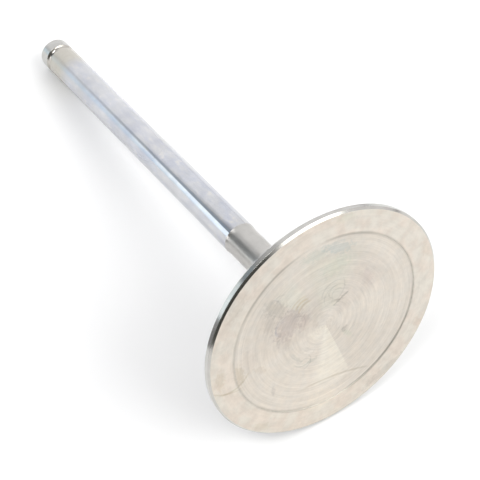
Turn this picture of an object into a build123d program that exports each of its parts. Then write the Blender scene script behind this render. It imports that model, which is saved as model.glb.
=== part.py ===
from build123d import *

import os
from math import cos, radians, sin, tan

# An intake poppet valve: one forging, turned and ground all over, with a hard-plated stem.
# It stands on its head. The origin is the centre of the flat combustion face and +Z runs up the stem.

# Overall
overall_length = 125.8  # combustion face to stem tip

# Head, from the combustion face up
head_diameter = 57.15
face_chamfer = 0.45
margin_height = 1.0  # ground cylindrical band above the chamfer
seat_angle = 45.0  # from the combustion face, as are the two angles below
seat_width = 1.8  # measured along the cone
backcut_angle = 30.0
backcut_width = 0.9
underhead_angle = 12.0
tulip_radius = 19.0  # sweeps the underhead up into the neck

# Shallow turned relief in the middle of the combustion face
relief_diameter = 45.3
relief_depth = 0.1

# Neck and stem
neck_diameter = 7.62  # undercut, left unplated
neck_height = 33.8  # combustion face to the end of the plated stem
neck_runout = 1.5  # length of the curve that leads the undercut out to full size
stem_diameter = 7.92

# Keeper groove and tip
groove_from_tip = 4.35  # to the middle of the groove
groove_radius = 0.9
groove_depth = 0.55
tip_radius = 0.65

head_r = head_diameter / 2
relief_r = relief_diameter / 2
neck_r = neck_diameter / 2
stem_r = stem_diameter / 2


def up_the_cone(start, width, angle):
    """The upper end of a conical band that starts at start, slopes in at angle and is width long."""
    return (start[0] - width * cos(radians(angle)), start[1] + width * sin(radians(angle)))


face_edge = (head_r, 0)
seat_outer = (head_r, face_chamfer + margin_height)
seat_inner = up_the_cone(seat_outer, seat_width, seat_angle)
backcut_inner = up_the_cone(seat_inner, backcut_width, backcut_angle)
tulip_corner = (neck_r, backcut_inner[1] + (backcut_inner[0] - neck_r) * tan(radians(underhead_angle)))
tip_edge = (stem_r, overall_length)
groove_center = (stem_r - groove_depth + groove_radius, overall_length - groove_from_tip)

with BuildPart() as valve:
    with BuildSketch(Plane.XZ) as half_section:
        with BuildLine():
            head = Polyline(
                (0, relief_depth),
                (relief_r - relief_depth, relief_depth),
                (relief_r, 0),
                face_edge,
                seat_outer,
                seat_inner,
                backcut_inner,
                tulip_corner,
                (neck_r, neck_height - neck_runout),
            )
            runout = TangentArc(head @ 1, (stem_r, neck_height), tangent=(0, 1))
            Polyline(runout @ 1, tip_edge, (0, overall_length), (0, relief_depth))
        make_face()
        corners = half_section.vertices()
        chamfer(corners.sort_by_distance(face_edge)[0], length=face_chamfer)
        fillet(corners.sort_by_distance(tulip_corner)[0], radius=tulip_radius)
        fillet(corners.sort_by_distance(tip_edge)[0], radius=tip_radius)
    revolve(axis=Axis.Z)

    # Round-bottomed groove for the keepers
    with BuildSketch(Plane.XZ):
        with Locations(groove_center):
            Circle(groove_radius)
    revolve(axis=Axis.Z, mode=Mode.SUBTRACT)

valve.part.label = "valve"

os.makedirs("parts", exist_ok=True)
export_step(valve.part, "parts/valve.step")
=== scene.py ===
from math import acos, asin, atan2, cos, hypot, pi, radians, sin, tan

import bpy
from mathutils import Matrix, Vector


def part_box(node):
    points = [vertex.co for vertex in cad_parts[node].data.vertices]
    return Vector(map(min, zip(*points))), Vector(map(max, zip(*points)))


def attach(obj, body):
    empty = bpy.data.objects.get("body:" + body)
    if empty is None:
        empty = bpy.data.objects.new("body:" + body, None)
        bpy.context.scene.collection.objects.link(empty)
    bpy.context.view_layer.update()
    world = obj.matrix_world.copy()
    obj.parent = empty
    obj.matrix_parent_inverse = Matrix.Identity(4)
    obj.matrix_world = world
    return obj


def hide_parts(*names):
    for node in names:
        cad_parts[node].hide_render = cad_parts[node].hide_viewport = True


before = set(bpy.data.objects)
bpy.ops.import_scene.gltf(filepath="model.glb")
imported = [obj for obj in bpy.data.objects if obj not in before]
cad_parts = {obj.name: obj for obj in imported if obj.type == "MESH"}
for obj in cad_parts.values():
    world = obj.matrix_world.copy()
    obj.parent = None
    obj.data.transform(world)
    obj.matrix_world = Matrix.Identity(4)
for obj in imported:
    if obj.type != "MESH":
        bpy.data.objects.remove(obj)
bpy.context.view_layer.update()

MM = 0.001

# ---------------------------------------------------------------- sizes of the valve
# The head and the length are read from the frame. The rest are the CAD part's sizes.
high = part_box("valve")[1]
HEAD_R = high.x
LENGTH = high.z
FACE_CHAMFER = 0.45 * MM
MARGIN = 1.0 * MM
SEAT_WIDTH = 1.8 * MM
SEAT_ANGLE = radians(45)
BACKCUT_WIDTH = 0.9 * MM
BACKCUT_ANGLE = radians(30)
UNDERHEAD_ANGLE = radians(12)
TULIP_R = 19.0 * MM
RELIEF_R = 22.65 * MM
RELIEF_DEPTH = 0.1 * MM
NECK_R = 3.81 * MM
NECK_HEIGHT = 33.8 * MM
NECK_RUNOUT = 1.5 * MM
STEM_R = 3.96 * MM
GROOVE_FROM_TIP = 4.35 * MM
GROOVE_R = 0.9 * MM
GROOVE_DEPTH = 0.55 * MM
GROOVE_EDGE = 0.15 * MM  # rounding where the groove meets the stem
TIP_R = 0.65 * MM
RIM_Z = FACE_CHAMFER + MARGIN
BARE_TIP = 12.3 * MM  # the plating ends this far from the tip

# Only in this mesh: edges that look sharp are broken by these radii.
EDGE = 0.05 * MM
FAINT_EDGE = EDGE / 2
NEARLY = 0.999  # a rounding stops just short of the next one

SEGMENTS = 360
ARC_STEP = radians(5)
FEWEST_STEPS = 4

# ---------------------------------------------------------------- where looks change
# Heights above the face in millimetres, as the materials measure them.
NECK_TOP = NECK_HEIGHT / MM
LEAN_FROM = NECK_TOP - 18.0  # the neck's marks begin to lean here
LEAN_FULL = NECK_TOP - 5.0
DIM_TO = NECK_TOP + 20.0  # the plating is a little darker up to here
DIM_FROM = NECK_TOP + 50.0  # and from here on
METAL_FULL = NECK_TOP - 20.0  # above this the stem reflects less and less like metal
METAL_LEAST = NECK_TOP + 70.0
BARE_FROM = (LENGTH - BARE_TIP) / MM
BARE_FADE = 2.5  # half the height over which the plating gives way to steel

# ---------------------------------------------------------------- camera and floor
LENS = 115.4  # millimetres, as the sensor is
SENSOR_WIDTH = 36.0
NEAREST_SEEN = 0.01  # metres
FURTHEST_SEEN = 20.0
CAMERA_PLACE = Vector((82.22, -243.13, -193.07)) * MM
CAMERA_AIM = Vector((-0.24, -0.08, 33.5)) * MM
UPPER_SIDE = Vector((1, -1, 0)).normalized()  # the valve lies on the opposite side

# The floor's corners from under the middle of the face, in millimetres to the camera's
# right and away from it. Past the valve, the left edge runs outwards.
FLOOR_CORNERS = (
    (-92, -240),
    (700, -240),
    (700, 900),
    (-700, 900),
    (-700, 90),
    (-262, 45),
    (-192, 17),
    (-92, 10),
)

# How far the lying valve leans: its rim and its rounded tip edge both touch the floor.
TIP_RISE = HEAD_R - (STEM_R - TIP_R)
TIP_REACH = LENGTH - TIP_R - RIM_Z
LEAN = atan2(TIP_RISE, TIP_REACH) - asin(TIP_R / hypot(TIP_RISE, TIP_REACH))
FLOOR_UP = UPPER_SIDE * cos(LEAN) - Vector((0, 0, sin(LEAN)))
FLOOR_POINT = -UPPER_SIDE * HEAD_R + Vector((0, 0, RIM_Z))


# ================================================================ the valve's outline
def up_the_cone(start, width, angle):
    """The far end of a conical face that starts here and goes inwards and up."""
    return (start[0] - width * cos(angle), start[1] + width * sin(angle))


def head_corners():
    seat_outer = (HEAD_R, RIM_Z)
    seat_inner = up_the_cone(seat_outer, SEAT_WIDTH, SEAT_ANGLE)
    backcut_inner = up_the_cone(seat_inner, BACKCUT_WIDTH, BACKCUT_ANGLE)
    tulip_z = backcut_inner[1] + (backcut_inner[0] - NECK_R) * tan(UNDERHEAD_ANGLE)
    return (
        (0, RELIEF_DEPTH, 0, "face"),
        (RELIEF_R - RELIEF_DEPTH, RELIEF_DEPTH, EDGE, "step"),
        (RELIEF_R, 0, EDGE, "border"),
        (HEAD_R - FACE_CHAMFER, 0, EDGE, "chamfer"),
        (HEAD_R, FACE_CHAMFER, EDGE, "margin"),
        (*seat_outer, EDGE, "seat"),
        (*seat_inner, EDGE, "seat"),
        (*backcut_inner, EDGE, "neck"),
        (NECK_R, tulip_z, TULIP_R, "neck"),
    )


def runout_corners():
    """The run-out curve leaves the neck along the axis and ends on the plated stem."""
    step = STEM_R - NECK_R
    runout_r = (NECK_RUNOUT**2 + step**2) / (2 * step)
    runout_turn = 2 * atan2(step, NECK_RUNOUT)
    runout_z = NECK_HEIGHT - NECK_RUNOUT + runout_r * tan(runout_turn / 2)
    return (
        (NECK_R, runout_z, runout_r * NEARLY, "neck"),
        (STEM_R, NECK_HEIGHT, FAINT_EDGE, "stem"),
    )


def groove_corners():
    """The groove's flanks meet in the corner that its round bottom fills."""
    half_turn = acos((GROOVE_R - GROOVE_DEPTH) / GROOVE_R)
    half_mouth = GROOVE_R * sin(half_turn)
    groove_z = LENGTH - GROOVE_FROM_TIP
    groove_corner = STEM_R - half_mouth * tan(half_turn)
    flank = half_mouth / cos(half_turn)
    bottom_r = (flank - GROOVE_EDGE * tan(half_turn / 2)) / tan(half_turn) * NEARLY
    return (
        (STEM_R, groove_z - half_mouth, GROOVE_EDGE, "groove"),
        (groove_corner, groove_z, bottom_r, "groove"),
        (STEM_R, groove_z + half_mouth, GROOVE_EDGE, "tip"),
    )


def outline_corners():
    """Corners of the half section, from the middle of the face to that of the tip.

    Each is (distance from the axis, height, rounding, finish of the span that follows).
    """
    return (
        *head_corners(),
        *runout_corners(),
        *groove_corners(),
        (STEM_R, LENGTH, TIP_R, "tip"),
        (0, LENGTH, 0, "tip"),
    )


def towards(start, end):
    """The direction from one corner to another."""
    return (Vector(end[:2]) - Vector(start[:2])).normalized()


def end_point(corner, along):
    """The outline's point at one of its ends, where nothing is rounded."""
    r, z, _, finish = corner
    return (r, z, along.y, -along.x, finish)


def rounded_corner(before, corner, after):
    """The outline's points round one corner, each half with the finish of its side."""
    rounding = corner[2]
    into = towards(before, corner)
    out = towards(corner, after)
    turn = atan2(into.x * out.y - into.y * out.x, into.dot(out))
    reach = rounding * tan(abs(turn) / 2)
    start = Vector(corner[:2]) - into * reach
    side = 1 if turn > 0 else -1
    centre = start + Vector((-into.y, into.x)) * rounding * side
    steps = max(FEWEST_STEPS, round(abs(turn) / ARC_STEP))
    points = []
    for k in range(steps + 1):
        heading = atan2(into.y, into.x) + turn * k / steps
        normal = Vector((sin(heading), -cos(heading)))
        place = centre + normal * rounding * side
        finish = corner[3] if k >= steps / 2 else before[3]
        points.append((place.x, place.y, normal.x, normal.y, finish))
    return points


def rounded_outline(corners):
    """Points (r, z, normal r, normal z, finish) along the corners, each one rounded."""
    first, second, *_, last_but_one, last = corners
    points = [end_point(first, towards(first, second))]
    for before, corner, after in zip(corners, corners[1:], corners[2:]):
        points += rounded_corner(before, corner, after)
    points.append(end_point(last, towards(last_but_one, last)))
    return points


# ================================================================ the valve's mesh
def ring_size(radius):
    """How many mesh points an outline point makes: one on the axis, else a ring."""
    return 1 if radius == 0 else SEGMENTS


def turned_points(points):
    """The outline's points turned about Z, and the exact normal at each."""
    verts = []
    normals = []
    for r, z, normal_r, normal_z, _ in points:
        side = 0 if r == 0 else normal_r
        for k in range(ring_size(r)):
            angle = 2 * pi * k / SEGMENTS
            verts.append((r * cos(angle), r * sin(angle), z))
            normals.append((side * cos(angle), side * sin(angle), normal_z))
    return verts, normals


def faces_between(first, size, second, next_size):
    """The faces from the ring that starts at one point to the ring at another."""
    faces = []
    for k in range(SEGMENTS):
        n = (k + 1) % SEGMENTS
        if size == 1:
            faces.append((first, second + n, second + k))
        elif next_size == 1:
            faces.append((first + k, first + n, second))
        else:
            faces.append((first + k, first + n, second + n, second + k))
    return faces


def valve_mesh(points, finishes):
    """The outline turned about Z, each face with the material of its finish."""
    verts, normals = turned_points(points)
    faces = []
    slots = []
    first = 0
    for point, following in zip(points, points[1:]):
        size = ring_size(point[0])
        band = faces_between(first, size, first + size, ring_size(following[0]))
        faces += band
        slots += [finishes.index(point[4])] * len(band)
        first += size
    mesh = bpy.data.meshes.new("engine_valve")
    mesh.from_pydata(verts, [], faces)
    mesh.polygons.foreach_set("material_index", slots)
    mesh.polygons.foreach_set("use_smooth", [True] * len(faces))
    mesh.normals_split_custom_set_from_vertices(normals)
    mesh.update()
    return mesh


# ================================================================ node helpers
# Noise is about 0.5 and seldom far from it. These are how much of it a look takes in:
# the narrower, the sharper the patches it makes.
WIDEST = (0.25, 0.75)
WIDE = (0.3, 0.7)
NARROW = (0.35, 0.65)
NARROWEST = (0.38, 0.62)

SPOT_OUTER = 1.3  # a patch fades in from this many of its half lengths
SPOT_INNER = 0.55
ARC_OUTER = 1.25  # a tool arc's ends fade over these parts of its half sweep
ARC_INNER = 0.7


class Nodes:
    """Short calls for one node tree."""

    def __init__(self, tree):
        self.tree = tree
        tree.nodes.clear()

    def put(self, socket, value):
        if isinstance(value, bpy.types.NodeSocket):
            self.tree.links.new(value, socket)
        elif value is not None:
            socket.default_value = value

    def new(self, kind, *values, **settings):
        node = self.tree.nodes.new(kind)
        for name, value in settings.items():
            setattr(node, name, value)
        for socket, value in zip(node.inputs, values):
            self.put(socket, value)
        return node

    def math(self, operation, *values):
        return self.new("ShaderNodeMath", *values, operation=operation).outputs[0]

    def vector(self, operation, *values):
        node = self.new("ShaderNodeVectorMath", *values, operation=operation)
        scalar = operation in ("DOT_PRODUCT", "LENGTH")
        return node.outputs["Value" if scalar else "Vector"]

    def ramp(self, value, start, end, low_value=0.0, high_value=1.0):
        """Smoothly from low_value at start to high_value at end."""
        limits = (value, start, end, low_value, high_value)
        node = self.new(
            "ShaderNodeMapRange", *limits, interpolation_type="SMOOTHSTEP"
        )
        return node.outputs[0]

    def spread(self, noise, low_value=0.0, high_value=1.0, within=WIDE):
        """From low_value where the noise is low to high_value where it is high."""
        return self.ramp(noise, *within, low_value, high_value)

    def noise(self, place, scale, detail=3.0, roughness=0.5):
        node = self.new("ShaderNodeTexNoise", noise_dimensions="3D")
        self.put(node.inputs["Vector"], place)
        self.put(node.inputs["Scale"], scale)
        self.put(node.inputs["Detail"], detail)
        self.put(node.inputs["Roughness"], roughness)
        return node.outputs["Fac"]

    def mix(self, amount, first, second, blend="MIX"):
        """One colour mixed with another; sockets 6 and 7 are the node's two colours."""
        node = self.new("ShaderNodeMix", data_type="RGBA", blend_type=blend)
        self.put(node.inputs[0], amount)
        self.put(node.inputs[6], first)
        self.put(node.inputs[7], second)
        return node.outputs[2]

    def between(self, amount, first, second):
        """One number mixed with another; sockets 2 and 3 are the node's two numbers."""
        node = self.new("ShaderNodeMix", data_type="FLOAT")
        self.put(node.inputs[0], amount)
        self.put(node.inputs[2], first)
        self.put(node.inputs[3], second)
        return node.outputs[0]

    def join(self, x, y, z):
        return self.new("ShaderNodeCombineXYZ", x, y, z).outputs[0]

    def shaded(self, colour, shade):
        """The colour times a number about 1."""
        return self.mix(1.0, colour, self.join(shade, shade, shade), "MULTIPLY")

    def laid(self, place, centre, angle, size):
        """The place measured from a mark's centre, on its own axes and in its size."""
        node = self.new("ShaderNodeMapping", place, vector_type="TEXTURE")
        node.inputs["Location"].default_value = (*centre, 0.0)
        node.inputs["Rotation"].default_value = (0.0, 0.0, angle)
        node.inputs["Scale"].default_value = (*size, 1.0)
        return node.outputs[0]

    def spot(self, place, centre, reach, width, angle, ragged):
        """1 inside a soft ellipse, its edge broken by the ragged noise."""
        local = self.laid(place, centre, radians(angle), (reach, width))
        away = self.math("ADD", self.vector("LENGTH", local), ragged)
        return self.ramp(away, SPOT_OUTER, SPOT_INNER)

    def bearing(self, local):
        """The angle from straight up, clockwise, in radians."""
        parts = self.new("ShaderNodeSeparateXYZ", local)
        return self.math("ARCTAN2", parts.outputs[0], parts.outputs[1])

    def sector(self, place, middle, half, soft_before, soft_after):
        """1 inside a sector; its edges are soft by so many degrees."""
        local = self.laid(place, (0.0, 0.0), radians(-middle), (1.0, 1.0))
        angle = self.bearing(local)
        before = self.ramp(
            angle, radians(-half - soft_before), radians(-half + soft_before)
        )
        after = self.ramp(
            angle, radians(half + soft_after), radians(half - soft_after)
        )
        return self.math("MULTIPLY", before, after)

    def arc(self, place, centre, radius, half_width, middle, half):
        """1 on a thin arc that fades at its ends."""
        local = self.laid(place, centre, radians(-middle), (radius, radius))
        off = self.math("SUBTRACT", self.vector("LENGTH", local), 1.0)
        off = self.math("ABSOLUTE", off)
        swept = self.math("ABSOLUTE", self.bearing(local))
        ends = self.ramp(swept, radians(half * ARC_OUTER), radians(half * ARC_INNER))
        line = self.ramp(off, half_width / radius, 0.0)
        return self.math("MULTIPLY", line, ends)


def rgb(red, green, blue):
    return (red, green, blue, 1.0)


# ================================================================ materials
GRAIN_TURN = 0.25  # a quarter turn, so that highlights spread across the turning marks

# How much faster noise changes along the valve or outwards than round it.
RING_STRETCH = 0.6  # for rings a millimetre apart
GROUND_STRETCH = 10.0
STEM_STRETCH = 6.0


def turned_place(nodes):
    """The place on the turned part, in millimetres.

    It is (place, distance from the axis, x and y over that distance, height).
    """
    coords = nodes.new("ShaderNodeTexCoord").outputs["Object"]
    place = nodes.new("ShaderNodeVectorMath", coords, operation="SCALE")
    place.inputs["Scale"].default_value = 1 / MM
    parts = nodes.new("ShaderNodeSeparateXYZ", place.outputs[0])
    flat = nodes.join(parts.outputs[0], parts.outputs[1], 0.0)
    distance = nodes.vector("LENGTH", flat)
    way = nodes.new("ShaderNodeSeparateXYZ", nodes.vector("NORMALIZE", flat))
    return place.outputs[0], distance, way.outputs[0], way.outputs[1], parts.outputs[2]


def metal(name, build):
    """A material whose colour, roughness and relief come from build(nodes)."""
    material = bpy.data.materials.new(name)
    material.use_nodes = True
    nodes = Nodes(material.node_tree)
    look = build(nodes)
    shader = nodes.new("ShaderNodeBsdfPrincipled")
    nodes.put(shader.inputs["Metallic"], look.get("metallic", 1.0))
    nodes.put(shader.inputs["Base Color"], look["colour"])
    nodes.put(shader.inputs["Roughness"], look["roughness"])
    shader.inputs["Anisotropic"].default_value = look["grain"]
    shader.inputs["Anisotropic Rotation"].default_value = GRAIN_TURN
    tangent = nodes.new("ShaderNodeTangent", direction_type="RADIAL", axis="Z")
    nodes.put(shader.inputs["Tangent"], tangent.outputs[0])
    bump = nodes.new("ShaderNodeBump")
    bump.inputs["Strength"].default_value = look["relief"]
    bump.inputs["Distance"].default_value = look["depth"] * MM
    nodes.put(bump.inputs["Height"], look["height"])
    nodes.put(bump.inputs["Normal"], look.get("normal"))
    nodes.put(shader.inputs["Normal"], bump.outputs[0])
    output = nodes.new("ShaderNodeOutputMaterial")
    nodes.put(output.inputs["Surface"], shader.outputs[0])
    return material


# ---------------------------------------------------------------- marks and painted light on the face
# They are placed in millimetres across and up from its centre, and their angles are
# degrees clockwise from straight up.
FACE_ACROSS = radians(18.7)  # how far the face's own axis is turned from the CAD's X

# Sectors of painted sheen, the turned face's reflection painted lighter or darker by
# angle: middle, half width, softness before and after, from and to radius, shade.
PAINTED_SHEEN_SECTORS = (
    (206.0, 15.5, 0.8, 8.0, 0.0, 19.0, rgb(1.1, 1.115, 1.1)),  # painted highlight: the bright fan
    (171.0, 18.5, 8.0, 0.8, 1.0, 22.0, rgb(0.985, 0.98, 0.975)),  # painted shade: its dark side
    (318.0, 26.0, 7.0, 5.0, 2.5, 21.0, rgb(0.955, 0.945, 0.94)),
    (0.0, 20.0, 8.0, 8.0, 3.0, 13.0, rgb(0.93, 0.925, 0.92)),
    (356.0, 9.0, 1.5, 4.0, 11.0, 20.5, rgb(1.02, 1.05, 1.035)),
    (38.0, 22.0, 8.0, 8.0, 5.0, 23.0, rgb(0.935, 0.955, 0.94)),
    (80.0, 20.0, 8.0, 8.0, 4.0, 20.0, rgb(0.93, 0.92, 0.92)),
    (228.0, 30.0, 8.0, 20.0, 15.0, 28.5, rgb(1.05, 1.05, 1.05)),
    (265.0, 40.0, 15.0, 15.0, 0.0, 5.0, rgb(1.06, 1.07, 1.06)),
)

# Patches on the face, with painted reflection, highlight and shadow where noted:
# centre, half length, half width, turn from the x axis, shade.
PATCHES_AND_PAINTED_LIGHT = (
    ((-5.4, 8.6), 4.2, 3.0, 20.0, rgb(0.87, 0.85, 0.87)),
    ((-5.0, 15.2), 3.1, 2.0, 110.0, rgb(0.87, 0.875, 0.87)),
    ((-8.6, 6.0), 2.8, 1.8, 75.0, rgb(0.93, 0.92, 0.92)),
    ((-16.6, 9.6), 3.4, 1.7, 60.0, rgb(0.95, 0.94, 0.94)),
    ((-2.8, 5.6), 2.6, 1.3, 35.0, rgb(0.92, 0.9, 0.91)),
    ((-8.2, 13.2), 2.8, 1.6, 60.0, rgb(0.92, 0.915, 0.915)),
    # The next three are painted reflections, greenish.
    ((12.9, 15.0), 3.8, 1.5, -52.0, rgb(0.88, 0.93, 0.965)),
    ((8.2, 18.4), 3.6, 1.5, -28.0, rgb(0.91, 0.95, 0.95)),
    ((10.0, 11.5), 3.4, 2.3, -25.0, rgb(0.94, 0.975, 0.955)),
    ((2.2, -5.5), 0.75, 0.65, 0.0, rgb(0.8, 0.8, 0.81)),
    # Painted shadow beneath the dark spot above.
    ((2.0, -7.4), 0.7, 1.7, 10.0, rgb(0.92, 0.955, 0.93)),
    ((6.3, 2.75), 2.5, 0.28, 0.0, rgb(0.74, 0.75, 0.74)),
    ((4.9, 3.6), 1.6, 0.3, -38.0, rgb(0.84, 0.83, 0.83)),
    ((13.2, 1.5), 2.6, 1.2, 80.0, rgb(0.94, 0.92, 0.93)),
    ((-19.8, 8.3), 2.6, 1.0, 65.0, rgb(0.91, 0.88, 0.83)),
    ((-16.2, 4.6), 1.6, 0.9, 120.0, rgb(0.93, 0.91, 0.89)),
    ((-17.6, -3.4), 1.5, 0.5, 60.0, rgb(0.88, 0.88, 0.89)),
    ((-9.4, -1.2), 0.5, 2.3, 5.0, rgb(0.91, 0.92, 0.92)),
    ((-7.6, -5.4), 1.6, 0.5, -20.0, rgb(0.87, 0.885, 0.88)),
    # Painted highlights, this one and the next.
    ((-6.6, -2.6), 0.35, 1.6, 40.0, rgb(1.09, 1.09, 1.09)),
    ((-12.0, -17.5), 4.5, 2.6, -30.0, rgb(1.045, 1.035, 1.015)),
    ((14.5, -22.5), 1.7, 1.0, 70.0, rgb(0.93, 0.9, 0.88)),
    ((2.5, -26.8), 6.5, 1.1, -4.0, rgb(0.88, 0.885, 0.885)),
    ((-23.4, 11.5), 2.6, 1.2, 60.0, rgb(0.94, 0.91, 0.87)),
    ((-10.5, 23.8), 3.5, 1.2, 20.0, rgb(0.93, 0.915, 0.9)),
    ((17.5, 20.3), 2.4, 1.0, -40.0, rgb(0.96, 0.975, 0.95)),
    ((26.0, -6.0), 2.2, 0.9, 80.0, rgb(0.94, 0.92, 0.9)),
    ((-25.0, -9.5), 2.4, 1.1, 120.0, rgb(0.95, 0.94, 0.91)),
)

# Arcs left by the lathe tool, two of them painted highlights along dark arcs: centre,
# radius, half width, middle, half sweep, shade.
ARCS = (
    ((-32.5, -47.9), 42.0, 0.42, 39.3, 11.0, rgb(0.84, 0.82, 0.78)),
    # Painted highlight along the dark arc above.
    ((-32.9, -48.4), 42.0, 0.22, 39.0, 9.0, rgb(1.08, 1.08, 1.07)),
    ((-21.2, 11.6), 5.6, 0.45, 190.0, 42.0, rgb(0.85, 0.83, 0.77)),
    ((-17.4, 13.5), 9.6, 0.35, 235.0, 30.0, rgb(0.9, 0.875, 0.83)),
    ((6.0, 5.2), 3.4, 0.3, 5.0, 60.0, rgb(0.86, 0.865, 0.865)),
    ((5.6, 4.4), 2.9, 0.25, 350.0, 70.0, rgb(0.88, 0.885, 0.885)),
    ((6.4, 4.9), 2.2, 0.25, 20.0, 80.0, rgb(0.88, 0.89, 0.885)),
    ((6.2, 4.6), 1.4, 0.22, 0.0, 90.0, rgb(0.87, 0.875, 0.87)),
    ((5.2, 7.6), 4.2, 0.25, 140.0, 40.0, rgb(0.89, 0.89, 0.895)),
    ((8.4, 5.4), 3.8, 0.25, 250.0, 45.0, rgb(0.9, 0.9, 0.9)),
    ((-0.6, 8.4), 2.6, 0.45, 0.0, 42.0, rgb(0.93, 0.87, 0.77)),
    ((-0.4, 7.3), 2.6, 0.4, 355.0, 45.0, rgb(0.92, 0.86, 0.78)),
    ((-0.8, 8.0), 4.0, 0.35, 0.0, 32.0, rgb(0.94, 0.9, 0.83)),
    ((-6.6, 8.8), 2.0, 0.25, 320.0, 80.0, rgb(0.88, 0.9, 0.95)),
    ((-6.0, 8.4), 2.9, 0.25, 325.0, 55.0, rgb(0.88, 0.9, 0.94)),
    ((-5.2, 8.0), 3.8, 0.25, 330.0, 45.0, rgb(0.9, 0.91, 0.94)),
    ((-4.4, 6.8), 2.2, 0.25, 80.0, 60.0, rgb(0.88, 0.87, 0.89)),
    ((-8.3, -2.6), 2.4, 0.25, 215.0, 60.0, rgb(0.86, 0.875, 0.875)),
    # Painted highlight along the dark arc above.
    ((-7.6, -2.2), 2.9, 0.25, 225.0, 50.0, rgb(1.08, 1.085, 1.085)),
    ((-9.2, -3.6), 2.2, 0.25, 140.0, 60.0, rgb(0.87, 0.88, 0.88)),
    ((-8.9, -4.6), 1.4, 0.22, 60.0, 80.0, rgb(0.89, 0.9, 0.9)),
    ((-4.0, 14.4), 3.2, 0.3, 10.0, 40.0, rgb(0.9, 0.91, 0.92)),
    ((-6.5, 16.0), 3.0, 0.25, 80.0, 40.0, rgb(0.9, 0.89, 0.91)),
)

# Painted shade in the line round the recess: where it is strong (middle, half sweep),
# and how much.
RECESS_LINE = (
    (350.0, 22.0, 0.62),
    (50.0, 17.0, 0.6),
    (88.0, 28.0, 0.35),
    (138.0, 22.0, 0.5),
    (172.0, 22.0, 0.75),
    (240.0, 24.0, 0.42),
    (285.0, 26.0, 0.3),
    (318.0, 14.0, 0.35),
)
RECESS_LINE_SHADE = rgb(0.5, 0.5, 0.49)
RECESS_LINE_INSIDE = 0.08  # its middle is this far inside the recess's edge
RECESS_LINE_SOFT = 9.0  # degrees
RECESS_LINE_OUTER = 0.55  # it fades out between these distances from its middle
RECESS_LINE_INNER = 0.1

SECTOR_FADE = 0.72  # a sector fades out from this part of its outer radius
SECTOR_CORE = 0.6  # and in from this part of its inner radius
SECTOR_OPENING = 0.4  # to this far beyond it


def on_face(nodes, place):
    """The place across and up on the face, as it is seen from outside."""
    x = nodes.vector("DOT_PRODUCT", place, (cos(FACE_ACROSS), sin(FACE_ACROSS), 0.0))
    y = nodes.vector("DOT_PRODUCT", place, (sin(FACE_ACROSS), -cos(FACE_ACROSS), 0.0))
    return nodes.join(x, y, 0.0)


def drawn_round(nodes, along, stretch, way_x, way_y):
    """Where to read noise so that it is drawn out into lines round the valve."""
    return nodes.join(nodes.math("MULTIPLY", along, stretch), way_x, way_y)


def turning_rings(nodes, distance, way_x, way_y, pitch, detail):
    """Noise that runs in rings about so far apart."""
    rings_at = drawn_round(nodes, distance, RING_STRETCH / pitch, way_x, way_y)
    return nodes.noise(rings_at, scale=1.8, detail=detail, roughness=0.55)


def painted_recess_shade(nodes, sheet, distance):
    """How dark the painted shade in the line round the recess is at this place."""
    strength = None
    for middle, half, amount in RECESS_LINE:
        near = nodes.sector(sheet, middle, half, RECESS_LINE_SOFT, RECESS_LINE_SOFT)
        part = nodes.math("MULTIPLY", near, amount)
        strength = part if strength is None else nodes.math("MAXIMUM", strength, part)
    line_at = RELIEF_R / MM - RECESS_LINE_INSIDE
    off = nodes.math("ABSOLUTE", nodes.math("SUBTRACT", distance, line_at))
    line = nodes.ramp(off, RECESS_LINE_OUTER, RECESS_LINE_INNER)
    return nodes.math("MULTIPLY", strength, line)


def touches(middle, reach, inner, outer):
    """Whether a mark round that middle comes into a ring of the face."""
    return inner < hypot(*middle) + reach and hypot(*middle) - reach < outer


# Fans of painted sheen: the turned face's reflection painted lighter or darker by
# angle.
def with_painted_sheen(nodes, colour, sheet, distance, inner):
    for middle, half, soft_before, soft_after, start, end, shade in PAINTED_SHEEN_SECTORS:
        if inner < end:
            fan = nodes.sector(sheet, middle, half, soft_before, soft_after)
            reach = nodes.ramp(distance, end, end * SECTOR_FADE)
            full_from = start + SECTOR_OPENING
            opening = nodes.ramp(distance, start * SECTOR_CORE, full_from)
            fan = nodes.math("MULTIPLY", fan, nodes.math("MULTIPLY", reach, opening))
            colour = nodes.mix(fan, colour, shade, "MULTIPLY")
    return colour


# Patches of the face, some of them painted reflections, highlights and a shadow.
def with_patches_and_painted_light(nodes, colour, sheet, ragged, inner, outer):
    for centre, reach, width, angle, shade in PATCHES_AND_PAINTED_LIGHT:
        if touches(centre, max(reach, width), inner, outer):
            spot = nodes.spot(sheet, centre, reach, width, angle, ragged)
            colour = nodes.mix(spot, colour, shade, "MULTIPLY")
    return colour


def with_arcs(nodes, colour, sheet, inner, outer):
    for centre, radius, half_width, middle, half, shade in ARCS:
        turn = radians(middle)
        peak = (centre[0] + radius * sin(turn), centre[1] + radius * cos(turn))
        if touches(peak, radius * radians(half), inner, outer):
            line = nodes.arc(sheet, centre, radius, half_width, middle, half)
            colour = nodes.mix(line, colour, shade, "MULTIPLY")
    return colour


def marked(nodes, colour, place, distance, inner, outer):
    """The colour with the marks, the painted sheen and the painted light that reach
    this ring of the face.
    """
    sheet = on_face(nodes, place)
    ragged = nodes.noise(place, scale=1.3, detail=4.0, roughness=0.6)
    ragged = nodes.spread(ragged, -0.45, 0.45, within=WIDEST)
    colour = with_painted_sheen(nodes, colour, sheet, distance, inner)
    colour = with_patches_and_painted_light(nodes, colour, sheet, ragged, inner, outer)
    colour = with_arcs(nodes, colour, sheet, inner, outer)
    line = painted_recess_shade(nodes, sheet, distance)
    return nodes.mix(line, colour, RECESS_LINE_SHADE, "MULTIPLY")


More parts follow.
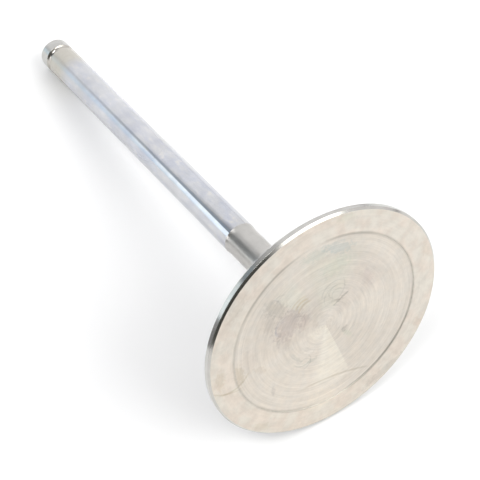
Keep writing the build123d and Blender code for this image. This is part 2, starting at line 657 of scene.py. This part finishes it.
# ---------------------------------------------------------------- what each finish is
def face_look(nodes):
    """The faced disc: turning rings, fans of painted sheen, patches with painted light
    among them, and tool marks.
    """
    place, distance, way_x, way_y, _ = turned_place(nodes)
    coarse = turning_rings(nodes, distance, way_x, way_y, pitch=0.9, detail=2.0)
    fine = turning_rings(nodes, distance, way_x, way_y, pitch=0.34, detail=3.0)
    patches = nodes.noise(place, scale=0.35, detail=5.0, roughness=0.6)
    blotches = nodes.noise(place, scale=0.8, detail=4.0, roughness=0.6)
    warm = rgb(0.665, 0.61, 0.54)
    cool = rgb(0.65, 0.606, 0.546)
    steel = nodes.mix(nodes.spread(patches, within=NARROWEST), warm, cool)
    shade = nodes.spread(coarse, 0.97, 1.03)
    shade = nodes.math("ADD", shade, nodes.spread(fine, -0.045, 0.045))
    shade = nodes.math("ADD", shade, nodes.spread(blotches, -0.03, 0.03))
    colour = nodes.shaded(steel, shade)
    return dict(
        colour=marked(nodes, colour, place, distance, 0.0, RELIEF_R / MM),
        roughness=nodes.spread(coarse, 0.36, 0.28),
        height=nodes.math("ADD", coarse, fine),
        grain=0.7,
        relief=0.15,
        depth=0.02,
    )


def border_look(nodes):
    """The outer ring of the face: the same steel, satin, with stains and scratches, and
    the painted sheen and painted light that reach it.
    """
    place, distance, way_x, way_y, _ = turned_place(nodes)
    rings = turning_rings(nodes, distance, way_x, way_y, pitch=0.5, detail=3.0)
    patches = nodes.noise(place, scale=0.45, detail=4.0, roughness=0.6)
    stains = nodes.noise(place, scale=0.22, detail=4.0, roughness=0.55)
    warm = rgb(0.697, 0.627, 0.552)
    cool = rgb(0.675, 0.634, 0.567)
    steel = nodes.mix(nodes.spread(stains, within=NARROWEST), warm, cool)
    shade = nodes.spread(rings, 0.98, 1.02)
    shade = nodes.math("ADD", shade, nodes.spread(patches, -0.06, 0.045))
    colour = nodes.shaded(steel, shade)
    return dict(
        colour=marked(nodes, colour, place, distance, RELIEF_R / MM, HEAD_R / MM),
        roughness=nodes.spread(patches, 0.42, 0.32),
        height=rings,
        grain=0.5,
        relief=0.12,
        depth=0.02,
    )


def step_look(nodes):
    """The narrow step round the recess: dull, and painted dark as shade in the recess.
    """
    place = turned_place(nodes)[0]
    # Noise that mottles the painted shade.
    painted_shade_mottle = nodes.noise(place, scale=0.6, detail=4.0, roughness=0.6)
    dark = rgb(0.46, 0.43, 0.39)
    light = rgb(0.6, 0.56, 0.5)
    return dict(
        colour=nodes.mix(nodes.spread(painted_shade_mottle, within=NARROW), dark, light),
        roughness=nodes.spread(painted_shade_mottle, 0.6, 0.5),
        height=painted_shade_mottle,
        grain=0.2,
        relief=0.1,
        depth=0.01,
    )


def ground_marks(nodes, along, stretch, way_x, way_y):
    """Fine marks that run round the valve."""
    marks_at = drawn_round(nodes, along, stretch, way_x, way_y)
    return nodes.noise(marks_at, scale=2.0, detail=5.0, roughness=0.65)


def leaning_normal(nodes, height, lean):
    """The surface's normal, which leans towards the head higher up."""
    outwards = nodes.new("ShaderNodeNewGeometry").outputs["Normal"]
    down = nodes.ramp(height, LEAN_FROM, LEAN_FULL, 0.0, -tan(lean))
    leaning = nodes.vector("ADD", outwards, nodes.join(0.0, 0.0, down))
    return nodes.vector("NORMALIZE", leaning)


def ground_look(colour, smooth, rough, grain, lean=0.0):
    """Fine marks running round the valve; their flanks may lean towards the head."""

    def build(nodes):
        place, distance, way_x, way_y, height = turned_place(nodes)
        along = nodes.math("ADD", distance, height)
        marks = ground_marks(nodes, along, GROUND_STRETCH, way_x, way_y)
        patches = nodes.noise(place, scale=0.4)
        shade = nodes.spread(marks, 0.94, 1.03)
        patched = nodes.spread(patches, -0.04, 0.03, within=NARROW)
        shade = nodes.math("ADD", shade, patched)
        return dict(
            colour=nodes.shaded(colour, shade),
            normal=leaning_normal(nodes, height, lean) if lean else None,
            roughness=nodes.spread(marks, rough, smooth),
            height=marks,
            grain=grain,
            relief=0.2,
            depth=0.01,
        )

    return build


CLOUDS_IN = (0.36, 0.62)  # the part of the noise that makes clouds in the plating
FLECKS_IN = (0.56, 0.72)  # and flecks
DIM_AT_NECK = 0.93  # how much of its lightness the plating keeps at its ends
DIM_AT_TIP = 0.94
POLISHED = 0.07  # roughness of the plating next to the neck
WORN = 0.14  # and near the tip
UNEVEN = 0.02  # what the flecks add to it or take away
BARE = 0.22  # roughness of the bare steel
LEAST_METAL = 0.58


def plated_colour(nodes, clouds, flecks, height):
    """The plating: bluish with warmer flecks, darker at its two ends."""
    dark = rgb(0.535, 0.55, 0.605)
    light = rgb(0.585, 0.59, 0.61)
    plating = nodes.mix(nodes.spread(clouds, within=CLOUDS_IN), dark, light)
    fleck = rgb(0.63, 0.62, 0.61)
    plating = nodes.mix(nodes.spread(flecks, within=FLECKS_IN), plating, fleck)

    along = nodes.join(0.0, 0.0, height)
    bands = nodes.noise(along, scale=0.09, detail=3.0, roughness=0.55)
    bands = nodes.spread(bands, 0.96, 1.08, within=NARROW)
    shade = nodes.math("ADD", nodes.spread(flecks, -0.03, 0.03), bands)
    at_neck = nodes.ramp(height, NECK_TOP, DIM_TO, DIM_AT_NECK, 1.0)
    shade = nodes.math("MULTIPLY", shade, at_neck)
    at_tip = nodes.ramp(height, DIM_FROM, BARE_FROM, 1.0, DIM_AT_TIP)
    shade = nodes.math("MULTIPLY", shade, at_tip)
    return nodes.shaded(plating, shade)


def stem_look(nodes):
    """Plated and polished, with cloudy marks; the plating stops short of the tip."""
    place, _, way_x, way_y, height = turned_place(nodes)
    stretched = nodes.vector("MULTIPLY", place, (1.0, 1.0, 0.5))
    clouds = nodes.noise(stretched, scale=0.34, detail=5.0, roughness=0.55)
    flecks = nodes.noise(stretched, scale=0.8, detail=4.0, roughness=0.55)
    marks = ground_marks(nodes, height, STEM_STRETCH, way_x, way_y)

    plated = plated_colour(nodes, clouds, flecks, height)
    dark = rgb(0.49, 0.468, 0.418)
    light = rgb(0.56, 0.538, 0.485)
    steel = nodes.mix(nodes.spread(marks, within=NARROW), dark, light)
    bare = nodes.ramp(height, BARE_FROM - BARE_FADE, BARE_FROM + BARE_FADE)

    # The polish is best next to the neck; towards the tip it is worn and hazy.
    worn = nodes.ramp(height, NECK_TOP, BARE_FROM, POLISHED, WORN)
    uneven = nodes.spread(flecks, UNEVEN, -UNEVEN, within=NARROW)
    return dict(
        colour=nodes.mix(bare, plated, steel),
        roughness=nodes.between(bare, nodes.math("ADD", worn, uneven), BARE),
        metallic=nodes.ramp(height, METAL_FULL, METAL_LEAST, 1.0, LEAST_METAL),
        height=nodes.math("ADD", marks, clouds),
        grain=0.3,
        relief=0.1,
        depth=0.01,
    )


NECK_LEAN = radians(7)

# For a ground finish: colour, least and most roughness, grain, how far its marks lean.
FINISHES = {
    "face": face_look,
    "step": step_look,
    "border": border_look,
    "chamfer": ground_look(rgb(0.53, 0.515, 0.485), 0.12, 0.2, 0.3),
    "margin": ground_look(rgb(0.56, 0.55, 0.525), 0.14, 0.22, 0.4),
    "seat": ground_look(rgb(0.58, 0.57, 0.545), 0.17, 0.25, 0.5),
    "neck": ground_look(rgb(0.54, 0.528, 0.505), 0.28, 0.34, 0.3, NECK_LEAN),
    "stem": stem_look,
    "groove": ground_look(rgb(0.52, 0.495, 0.455), 0.16, 0.24, 0.0),
    "tip": ground_look(rgb(0.54, 0.535, 0.515), 0.18, 0.25, 0.3),
}


def added(name, data):
    """A new object of the scene."""
    thing = bpy.data.objects.new(name, data)
    bpy.context.scene.collection.objects.link(thing)
    return thing


def make_valve():
    mesh = valve_mesh(rounded_outline(outline_corners()), list(FINISHES))
    for name, build in FINISHES.items():
        mesh.materials.append(metal(f"valve_{name}", build))
    piece = added("engine_valve", mesh)
    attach(piece, "root")
    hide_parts("valve")


# ================================================================ floor and studio
FLOOR_COLOUR = rgb(0.93, 0.93, 0.93)
WALLS = rgb(1.1, 1.1, 1.11)
CEILING = rgb(0.3, 0.3, 0.3)
BEYOND_FLOOR = rgb(0.3, 0.3, 0.31)
BACKDROP = rgb(1.2, 1.2, 1.2)  # what the camera sees past the floor

# Heights above the horizon between which one light gives way to the next.
HORIZON = (radians(-2), radians(1))
CEILING_EDGE = (radians(70), radians(78))

# Each card of light or shade in the studio: degrees clockwise from straight away from
# the camera and above the floor, half width, half height, roll, softness, its light.
CARDS = (
    # The dim room behind the camera, and to its left.
    (185.0, 20.0, 32.0, 34.0, 0.0, 6.0, rgb(0.1, 0.1, 0.09)),
    (-107.0, 30.0, 40.0, 21.0, 0.0, 4.0, rgb(0.11, 0.11, 0.11)),
    # Soft boxes above the camera's right and high on the left, a narrow lamp below it.
    (118.8, 43.0, 19.8, 14.0, 0.0, 2.2, rgb(4.1, 4.1, 4.0)),
    (-131.0, 64.0, 12.0, 9.0, 0.0, 3.0, rgb(7.8, 7.8, 7.85)),
    (-113.0, 13.5, 4.2, 8.0, 0.0, 2.0, rgb(6.6, 6.6, 6.6)),
    # The dim wall above the window, the gap beside it, the wall under it, the window.
    (-58.0, 38.8, 14.7, 7.8, 43.6, 5.6, rgb(0.29, 0.3, 0.31)),
    (-66.0, 25.0, 4.8, 8.8, 50.0, 3.0, rgb(0.36, 0.43, 0.49)),
    (-71.1, 2.4, 13.7, 4.8, 54.0, 3.0, rgb(0.82, 1.04, 1.2)),
    (-78.2, 7.6, 13.7, 4.5, 54.0, 2.4, rgb(1.58, 1.74, 1.83)),
)


def floor_axes():
    """Straight away from the camera and to its right, along the floor."""
    away = CAMERA_AIM - CAMERA_PLACE
    away = (away - FLOOR_UP * away.dot(FLOOR_UP)).normalized()
    return away, away.cross(FLOOR_UP)


def floor_material():
    """Plain white from above and clear from below, so that it blocks no view."""
    material = bpy.data.materials.new("floor")
    material.use_nodes = True
    nodes = Nodes(material.node_tree)
    paper = nodes.new("ShaderNodeBsdfDiffuse", FLOOR_COLOUR).outputs[0]
    clear = nodes.new("ShaderNodeBsdfTransparent").outputs[0]
    below = nodes.new("ShaderNodeNewGeometry").outputs["Backfacing"]
    both = nodes.new("ShaderNodeMixShader", below, paper, clear).outputs[0]
    nodes.put(nodes.new("ShaderNodeOutputMaterial").inputs["Surface"], both)
    return material


def make_floor():
    away, right = floor_axes()
    under = FLOOR_UP * FLOOR_UP.dot(FLOOR_POINT)
    corners = [
        under + right * (to_right * MM) + away * (further * MM)
        for to_right, further in FLOOR_CORNERS
    ]
    mesh = bpy.data.meshes.new("floor")
    mesh.from_pydata(corners, [], [tuple(range(len(corners)))])
    mesh.materials.append(floor_material())
    added("floor", mesh)


def studio_direction(turn, elevation):
    """A direction by its turn from straight away and its elevation, as in CARDS."""
    away, right = floor_axes()
    flat = away * cos(radians(turn)) + right * sin(radians(turn))
    return flat * cos(radians(elevation)) + FLOOR_UP * sin(radians(elevation))


def card_mask(nodes, way, turn, elevation, half_width, half_height, roll, softness):
    """1 where that way meets the card, fading out round its edge."""
    centre = studio_direction(turn, elevation)
    level = studio_direction(turn + 90, 0)
    across = level * cos(radians(roll)) + level.cross(centre) * sin(radians(roll))
    ahead = nodes.vector("DOT_PRODUCT", way, centre)
    masks = []
    for axis, half in ((across, half_width), (across.cross(centre), half_height)):
        aside = nodes.math("ABSOLUTE", nodes.vector("DOT_PRODUCT", way, axis))
        angle = nodes.math("ARCTAN2", aside, ahead)
        outer = radians(half + softness)
        masks.append(nodes.ramp(angle, outer, radians(half - softness)))
    return nodes.math("MULTIPLY", *masks)


def make_world():
    """The studio as the valve and the floor see it; the camera sees a plain one."""
    world = bpy.data.worlds.new("studio")
    bpy.context.scene.world = world
    world.use_nodes = True
    nodes = Nodes(world.node_tree)
    way = nodes.new("ShaderNodeTexCoord").outputs["Generated"]
    height = nodes.math("ARCSINE", nodes.vector("DOT_PRODUCT", way, FLOOR_UP))
    light = nodes.mix(nodes.ramp(height, *HORIZON), BEYOND_FLOOR, WALLS)
    light = nodes.mix(nodes.ramp(height, *CEILING_EDGE), light, CEILING)
    for *card, colour in CARDS:
        light = nodes.mix(card_mask(nodes, way, *card), light, colour)
    lit = nodes.new("ShaderNodeBackground", light).outputs[0]
    plain = nodes.new("ShaderNodeBackground", BACKDROP).outputs[0]
    seen = nodes.new("ShaderNodeLightPath").outputs["Is Camera Ray"]
    both = nodes.new("ShaderNodeMixShader", seen, lit, plain).outputs[0]
    nodes.put(nodes.new("ShaderNodeOutputWorld").inputs["Surface"], both)


def make_camera():
    """The photograph's view, upright as seen with the valve lying on the floor."""
    data = bpy.data.cameras.new("camera")
    data.lens = LENS
    data.sensor_width = SENSOR_WIDTH
    data.clip_start = NEAREST_SEEN
    data.clip_end = FURTHEST_SEEN
    camera = added("camera", data)
    back = (CAMERA_PLACE - CAMERA_AIM).normalized()
    right = FLOOR_UP.cross(back).normalized()
    above = back.cross(right)
    turn = Matrix((right, above, back)).transposed().to_4x4()
    camera.matrix_world = Matrix.Translation(CAMERA_PLACE) @ turn
    bpy.context.scene.camera = camera


make_valve()
make_floor()
make_world()
make_camera()
bpy.context.scene.view_settings.view_transform = "Standard"
